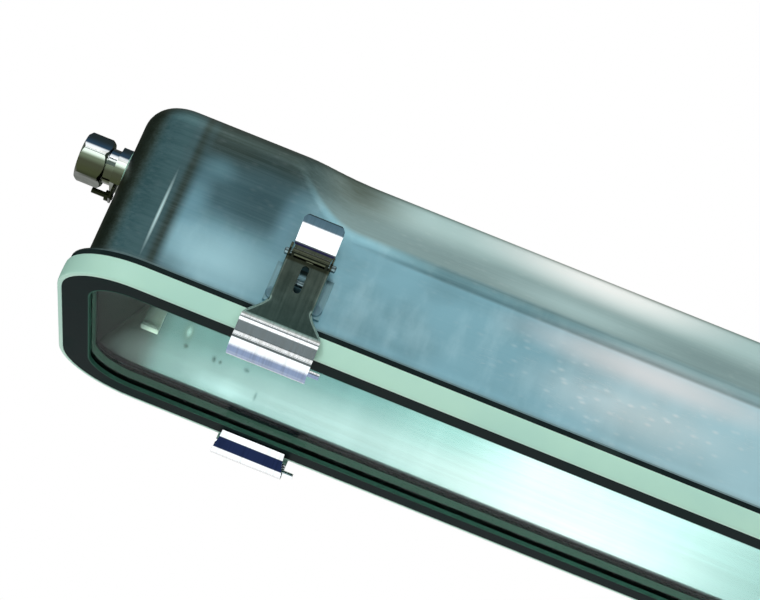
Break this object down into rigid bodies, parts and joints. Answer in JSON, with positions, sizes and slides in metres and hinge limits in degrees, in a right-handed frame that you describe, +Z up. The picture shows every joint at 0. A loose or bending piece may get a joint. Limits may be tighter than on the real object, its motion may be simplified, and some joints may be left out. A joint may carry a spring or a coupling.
{
  "type": "vapor tight light fixture",
  "caption": "Sealed ceiling light: deep drawn steel housing, pale door frame with a clear flat lens, draw latches along both sides and a metal cable gland.",
  "frame": {"origin": "centre of the flat top face that goes against the ceiling", "axes": "+X along the light away from the cable gland, +Y across it, +Z up through the ceiling face"},
  "size_m": [1.2879, 0.2032, 0.1266],
  "materials": {
    "steel_drawn": "drawn stainless sheet with a dull mill surface",
    "steel_latch": "bright pressed stainless with dark reflections",
    "steel_pin": "polished stainless pin",
    "frame_pale": "pale green grey satin paint",
    "black_rubber": "black moulded rubber",
    "retainer_black": "black satin moulding",
    "lens_clear": "clear flat sheet",
    "tray_bright": "bright rolled reflector sheet",
    "board_white": "white solder mask",
    "driver_case": "white painted can",
    "terminal_plastic": "white nylon",
    "lead_cover": "black lead cover",
    "gland_metal": "nickel plated brass",
    "gland_washer_pale": "pale sealing washer",
    "zinc_screw": "zinc plated steel"
  },
  "bodies": {
    "housing_body": {"housing": "steel_drawn", "housing_gasket": "black_rubber", "latch_brackets": "steel_latch", "latch_pivot_pins": "steel_pin", "latch_rivets": "steel_pin", "gear_tray": "tray_bright", "tray_reflector": "tray_bright", "tray_straps": "tray_bright", "light_boards": "board_white", "led_driver": "driver_case", "driver_screws": "zinc_screw", "terminal_block": "terminal_plastic", "supply_leads": "lead_cover", "board_leads": "lead_cover", "tray_grommet": "black_rubber", "ground_stud": "zinc_screw", "ground_nut": "zinc_screw", "hanger_nuts": "zinc_screw", "gland_washer": "gland_washer_pale", "gland_body": "gland_metal", "gland_seal": "black_rubber", "gland_locknut": "gland_metal", "bonding_lug": "gland_metal", "bonding_screw": "zinc_screw"},
    "door_body": {"lens_frame": "frame_pale", "lens_retainer": "retainer_black", "lens": "lens_clear", "lens_seal": "black_rubber"},
    "gland_cap_body": {"gland_cap_nut": "gland_metal"},
    "near_latch_1_lever_body": {"near_latch_1_lever": "steel_latch"},
    "near_latch_1_hook_body": {"near_latch_1_hook_plate": "steel_latch", "near_latch_1_link_pin": "steel_pin"},
    "near_latch_2_lever_body": {"near_latch_2_lever": "steel_latch"},
    "near_latch_2_hook_body": {"near_latch_2_hook_plate": "steel_latch", "near_latch_2_link_pin": "steel_pin"},
    "near_latch_3_lever_body": {"near_latch_3_lever": "steel_latch"},
    "near_latch_3_hook_body": {"near_latch_3_hook_plate": "steel_latch", "near_latch_3_link_pin": "steel_pin"},
    "far_latch_1_lever_body": {"far_latch_1_lever": "steel_latch"},
    "far_latch_1_hook_body": {"far_latch_1_hook_plate": "steel_latch", "far_latch_1_link_pin": "steel_pin"},
    "far_latch_2_lever_body": {"far_latch_2_lever": "steel_latch"},
    "far_latch_2_hook_body": {"far_latch_2_hook_plate": "steel_latch", "far_latch_2_link_pin": "steel_pin"},
    "far_latch_3_lever_body": {"far_latch_3_lever": "steel_latch"},
    "far_latch_3_hook_body": {"far_latch_3_hook_plate": "steel_latch", "far_latch_3_link_pin": "steel_pin"}
  },
  "joints": [
    {"name": "door_drop", "type": "slide", "parent": "housing_body", "child": "door_body", "axis": [0, 0, -1], "range_m": [0, 0.01508]},
    {"name": "gland_cap_turn", "type": "hinge", "parent": "housing_body", "child": "gland_cap_body", "pos_m": [-0.645, -0.042, -0.036], "axis": [-1, 0, 0], "continuous": true},
    {"name": "near_latch_1_lever_swing", "type": "hinge", "parent": "housing_body", "child": "near_latch_1_lever_body", "pos_m": [-0.512, -0.09209, -0.07719], "axis": [1, 0, 0], "range_deg": [0, 108]},
    {"name": "near_latch_1_hook_swing", "type": "hinge", "parent": "near_latch_1_lever_body", "child": "near_latch_1_hook_body", "pos_m": [-0.512, -0.095, -0.0635], "axis": [-1, 0, 0], "range_deg": [0, 140.4]},
    {"name": "near_latch_2_lever_swing", "type": "hinge", "parent": "housing_body", "child": "near_latch_2_lever_body", "pos_m": [0, -0.09209, -0.07719], "axis": [1, 0, 0], "range_deg": [0, 108]},
    {"name": "near_latch_2_hook_swing", "type": "hinge", "parent": "near_latch_2_lever_body", "child": "near_latch_2_hook_body", "pos_m": [0, -0.095, -0.0635], "axis": [-1, 0, 0], "range_deg": [0, 140.4]},
    {"name": "near_latch_3_lever_swing", "type": "hinge", "parent": "housing_body", "child": "near_latch_3_lever_body", "pos_m": [0.512, -0.09209, -0.07719], "axis": [1, 0, 0], "range_deg": [0, 108]},
    {"name": "near_latch_3_hook_swing", "type": "hinge", "parent": "near_latch_3_lever_body", "child": "near_latch_3_hook_body", "pos_m": [0.512, -0.095, -0.0635], "axis": [-1, 0, 0], "range_deg": [0, 140.4]},
    {"name": "far_latch_1_lever_swing", "type": "hinge", "parent": "housing_body", "child": "far_latch_1_lever_body", "pos_m": [-0.512, 0.09209, -0.07719], "axis": [-1, 0, 0], "range_deg": [0, 108]},
    {"name": "far_latch_1_hook_swing", "type": "hinge", "parent": "far_latch_1_lever_body", "child": "far_latch_1_hook_body", "pos_m": [-0.512, 0.095, -0.0635], "axis": [1, 0, 0], "range_deg": [0, 140.4]},
    {"name": "far_latch_2_lever_swing", "type": "hinge", "parent": "housing_body", "child": "far_latch_2_lever_body", "pos_m": [0, 0.09209, -0.07719], "axis": [-1, 0, 0], "range_deg": [0, 108]},
    {"name": "far_latch_2_hook_swing", "type": "hinge", "parent": "far_latch_2_lever_body", "child": "far_latch_2_hook_body", "pos_m": [0, 0.095, -0.0635], "axis": [1, 0, 0], "range_deg": [0, 140.4]},
    {"name": "far_latch_3_lever_swing", "type": "hinge", "parent": "housing_body", "child": "far_latch_3_lever_body", "pos_m": [0.512, 0.09209, -0.07719], "axis": [-1, 0, 0], "range_deg": [0, 108]},
    {"name": "far_latch_3_hook_swing", "type": "hinge", "parent": "far_latch_3_lever_body", "child": "far_latch_3_hook_body", "pos_m": [0.512, 0.095, -0.0635], "axis": [1, 0, 0], "range_deg": [0, 140.4]}
  ],
  "couplings": [
    {"joint": "near_latch_1_lever_swing", "follows": "door_drop", "rad_per_m": 124.99},
    {"joint": "near_latch_1_hook_swing", "follows": "door_drop", "rad_per_m": 162.49},
    {"joint": "near_latch_2_lever_swing", "follows": "door_drop", "rad_per_m": 124.99},
    {"joint": "near_latch_2_hook_swing", "follows": "door_drop", "rad_per_m": 162.49},
    {"joint": "near_latch_3_lever_swing", "follows": "door_drop", "rad_per_m": 124.99},
    {"joint": "near_latch_3_hook_swing", "follows": "door_drop", "rad_per_m": 162.49},
    {"joint": "far_latch_1_lever_swing", "follows": "door_drop", "rad_per_m": 124.99},
    {"joint": "far_latch_1_hook_swing", "follows": "door_drop", "rad_per_m": 162.49},
    {"joint": "far_latch_2_lever_swing", "follows": "door_drop", "rad_per_m": 124.99},
    {"joint": "far_latch_2_hook_swing", "follows": "door_drop", "rad_per_m": 162.49},
    {"joint": "far_latch_3_lever_swing", "follows": "door_drop", "rad_per_m": 124.99},
    {"joint": "far_latch_3_hook_swing", "follows": "door_drop", "rad_per_m": 162.49}
  ]
}
